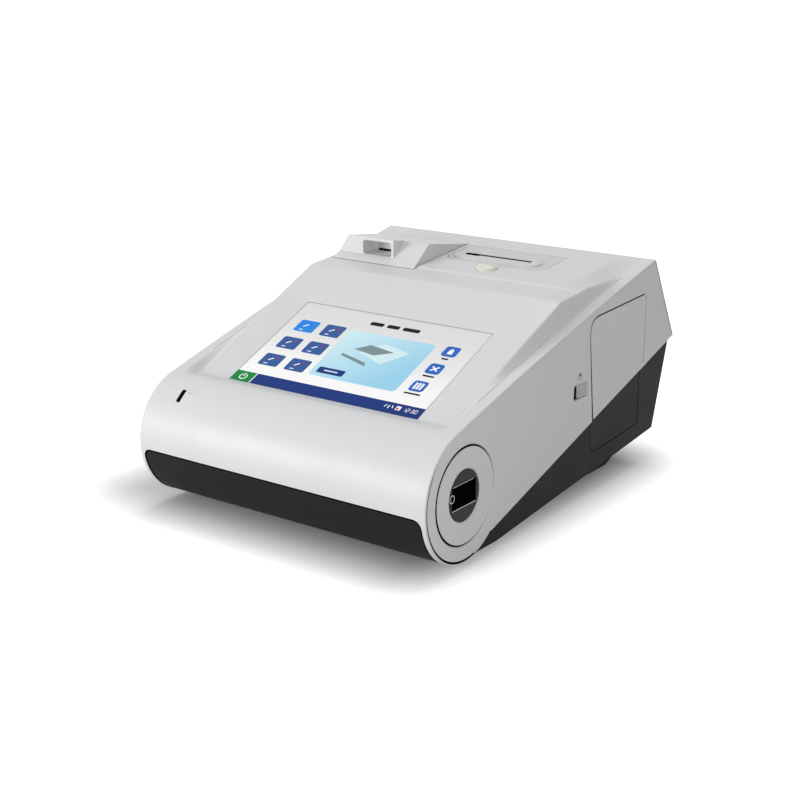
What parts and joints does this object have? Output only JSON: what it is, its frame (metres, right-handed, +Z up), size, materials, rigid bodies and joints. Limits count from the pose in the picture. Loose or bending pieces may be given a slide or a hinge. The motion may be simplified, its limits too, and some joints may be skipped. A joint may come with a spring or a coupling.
{
  "type": "blood gas analyzer",
  "caption": "Benchtop blood gas analyzer: sloping touch screen, card port, printer under a lid, barcode window and a latched side door to the fluid pack.",
  "frame": {"origin": "centre of the bounding box in plan, at the undersides of the feet", "axes": "+Z up, -Y towards the user at the screen side, +Y to the sockets and fan, +X to the user's right, the side with the door and the barcode window"},
  "size_m": [0.232, 0.3149, 0.1605],
  "materials": {
    "shell_white": "satin moulded plastic, pale cool grey-white",
    "lid_grey": "satin moulded plastic, silver grey",
    "base_charcoal": "fine-grained moulded plastic, charcoal",
    "button_cream": "smooth moulded plastic, cream",
    "window_black": "polished, near black",
    "rubber_dark": "soft moulded rubber, dark",
    "steel": "plated steel, satin",
    "alloy": "stamped aluminium, satin",
    "brass": "turned and hobbed brass",
    "board_green": "circuit board with green mask",
    "natural_plastic": "unpigmented engineering plastic",
    "paper": "smooth thermal paper",
    "screen": "cover glass over a lit display",
    "fluid_amber": "translucent moulded plastic and tube"
  },
  "bodies": {
    "housing": {"base_housing": "base_charcoal", "battery_cover": "base_charcoal", "battery_pack": "base_charcoal", "button_spring": "steel", "card_guide": "base_charcoal", "card_port_housing": "shell_white", "chassis_plate": "steel", "dc_jack": "base_charcoal", "display_gasket": "rubber_dark", "display_glass": "screen", "display_tray": "base_charcoal", "door_hinge_pin": "steel", "fan_frame": "base_charcoal", "fluid_bay": "natural_plastic", "fluid_pack": "fluid_amber", "foot_front_left": "rubber_dark", "foot_front_right": "rubber_dark", "foot_rear_left": "rubber_dark", "foot_rear_right": "rubber_dark", "io_board": "board_green", "lan_socket": "steel", "latch_keeper": "base_charcoal", "lcd_module": "alloy", "left_side_panel": "shell_white", "lid_hinge_pin": "steel", "lift_frame": "steel", "lift_motor": "steel", "main_board": "board_green", "paper_spindle": "natural_plastic", "print_head": "base_charcoal", "print_motor": "steel", "printer_frame": "steel", "pump_housing": "natural_plastic", "pump_motor": "steel", "pump_tube": "fluid_amber", "right_side_panel": "shell_white", "scan_bracket": "steel", "scan_engine": "window_black", "scanner_ring": "shell_white", "scanner_window": "window_black", "speaker": "steel", "status_light_window": "window_black", "upper_cover": "shell_white", "usb_sockets": "steel", "valve_block": "natural_plastic"},
    "door": {"fluid_door_upper": "shell_white", "fluid_door_lower": "base_charcoal"},
    "latch": {"latch_slider": "lid_grey"},
    "lid": {"printer_lid": "lid_grey"},
    "button": {"release_button": "button_cream"},
    "head": {"contact_head": "base_charcoal"},
    "screw": {"lift_screw": "brass"},
    "roll": {"paper_roll": "paper"},
    "platen": {"platen_roller": "rubber_dark"},
    "idler": {"idler_gear": "natural_plastic"},
    "pinion": {"motor_pinion": "brass"},
    "fan": {"fan_rotor": "base_charcoal"},
    "pump": {"pump_rotor": "natural_plastic"}
  },
  "joints": [
    {"name": "door_hinge", "type": "hinge", "parent": "housing", "child": "door", "pos_m": [0.1144, 0.1108, 0.1], "axis": [0, 0, 1], "range_deg": [0, 90]},
    {"name": "latch_slide", "type": "slide", "parent": "housing", "child": "latch", "axis": [0, -1, 0], "range_m": [0, 0.004]},
    {"name": "lid_hinge", "type": "hinge", "parent": "housing", "child": "lid", "pos_m": [0.017, 0.09861, 0.14945], "axis": [-1, 0, 0], "range_deg": [0, 90]},
    {"name": "button_press", "type": "slide", "parent": "housing", "child": "button", "axis": [0, 0, -1], "range_m": [0, 0.0015], "stiffness_N_per_m": 300, "springref_m": -0.001, "deforming": ["button_spring"]},
    {"name": "screw_turn", "type": "hinge", "parent": "housing", "child": "screw", "pos_m": [-0.06525, 0.068, 0.13], "axis": [0, 0, 1], "range_deg": [0, 1080]},
    {"name": "head_lift", "type": "slide", "parent": "housing", "child": "head", "axis": [0, 0, 1], "range_m": [0, 0.003]},
    {"name": "roll_spin", "type": "hinge", "parent": "housing", "child": "roll", "pos_m": [0.01425, 0.0815, 0.1195], "axis": [1, 0, 0], "continuous": true},
    {"name": "platen_spin", "type": "hinge", "parent": "housing", "child": "platen", "pos_m": [0.01425, 0.0695, 0.1378], "axis": [1, 0, 0], "continuous": true},
    {"name": "idler_spin", "type": "hinge", "parent": "housing", "child": "idler", "pos_m": [-0.0226, 0.0577, 0.12954], "axis": [1, 0, 0], "continuous": true},
    {"name": "pinion_spin", "type": "hinge", "parent": "housing", "child": "pinion", "pos_m": [-0.0226, 0.0517, 0.11915], "axis": [1, 0, 0], "continuous": true},
    {"name": "fan_spin", "type": "hinge", "parent": "housing", "child": "fan", "pos_m": [0.06, 0.14614, 0.05787], "axis": [0, 0.9581, -0.2866], "continuous": true},
    {"name": "pump_spin", "type": "hinge", "parent": "housing", "child": "pump", "pos_m": [0.018, 0.072, 0.06], "axis": [0, 0, 1], "continuous": true}
  ],
  "couplings": [
    {"joint": "screw_turn", "follows": "head_lift", "rad_per_m": 6283.2},
    {"joint": "idler_spin", "follows": "platen_spin", "ratio": -0.8},
    {"joint": "pinion_spin", "follows": "platen_spin", "ratio": 1.6}
  ]
}
